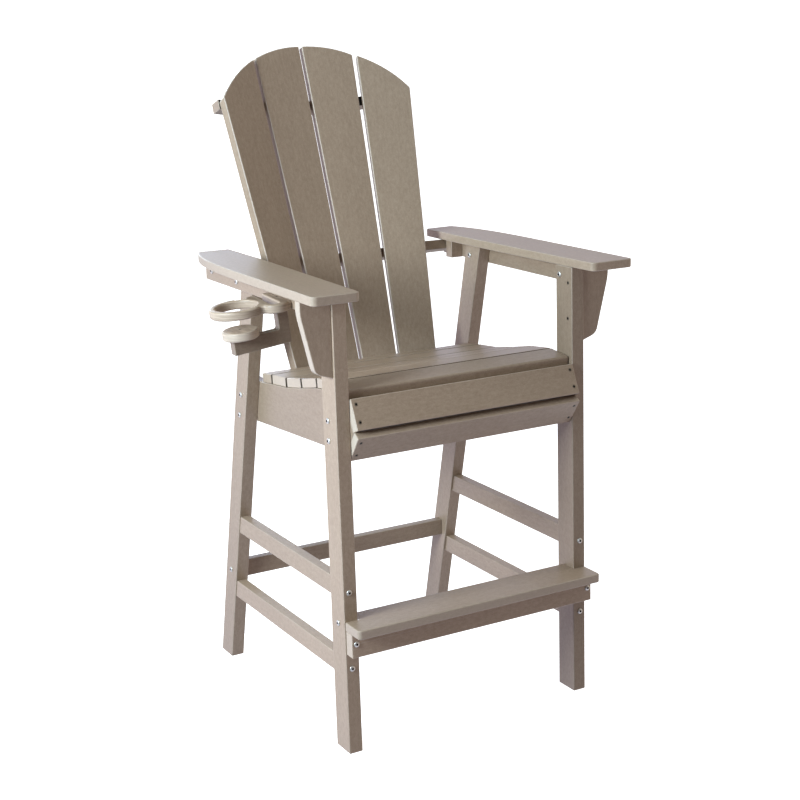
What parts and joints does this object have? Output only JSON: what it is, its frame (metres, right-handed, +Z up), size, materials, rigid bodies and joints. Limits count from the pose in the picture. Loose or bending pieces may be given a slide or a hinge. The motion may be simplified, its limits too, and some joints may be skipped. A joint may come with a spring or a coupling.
{
  "type": "adirondack counter chair",
  "caption": "Counter-height Adirondack armchair with a fanned slat back, contoured slat seat, footrest board and a drop-in cup holder with a stemware slot on one arm.",
  "frame": {"origin": "centre of the footprint of the whole chair's bounding box, on the floor", "axes": "+Z up; the chair faces -Y; the cup holder is on the -X arm"},
  "size_m": [0.829, 0.7744, 1.3795],
  "materials": {
    "lumber": "matt weathered taupe recycled-plastic lumber with a fine brushed grain",
    "stainless": "satin stainless steel",
    "dark_screw": "dark bronze coating, satin"
  },
  "bodies": {
    "root": {"front_leg_left": "lumber", "front_leg_right": "lumber", "rear_leg_left": "lumber", "rear_leg_right": "lumber", "upper_stretcher_left": "lumber", "upper_stretcher_right": "lumber", "lower_stretcher_left": "lumber", "lower_stretcher_right": "lumber", "rear_stretcher": "lumber", "foot_rail": "lumber", "footrest_board": "lumber", "seat_panel_left": "lumber", "seat_panel_right": "lumber", "seat_slat_front": "lumber", "seat_slat_2": "lumber", "seat_slat_3": "lumber", "seat_slat_4": "lumber", "seat_slat_5": "lumber", "seat_slat_rear": "lumber", "upper_apron": "lumber", "lower_apron": "lumber", "back_slat_1": "lumber", "back_slat_2": "lumber", "back_slat_3": "lumber", "back_slat_4": "lumber", "upper_back_rail": "lumber", "arm_back_rail": "lumber", "lower_back_rail": "lumber", "arm_rail_left": "lumber", "arm_rail_right": "lumber", "arm_left": "lumber", "arm_right": "lumber", "corbel_left": "lumber", "corbel_right": "lumber", "corner_block_left": "lumber", "corner_block_right": "lumber", "holder_plate": "lumber", "holder_bracket": "lumber", "holder_disc": "lumber", "panel_bolts": "stainless", "stretcher_bolts": "stainless", "rear_stretcher_bolts": "stainless", "footrest_bolts": "stainless", "foot_rail_bolts": "stainless", "arm_rail_bolts": "stainless", "corbel_screws": "dark_screw", "apron_screws": "dark_screw", "back_slat_screws": "dark_screw", "arm_screws": "dark_screw", "holder_screws": "dark_screw"}
  },
  "joints": []
}
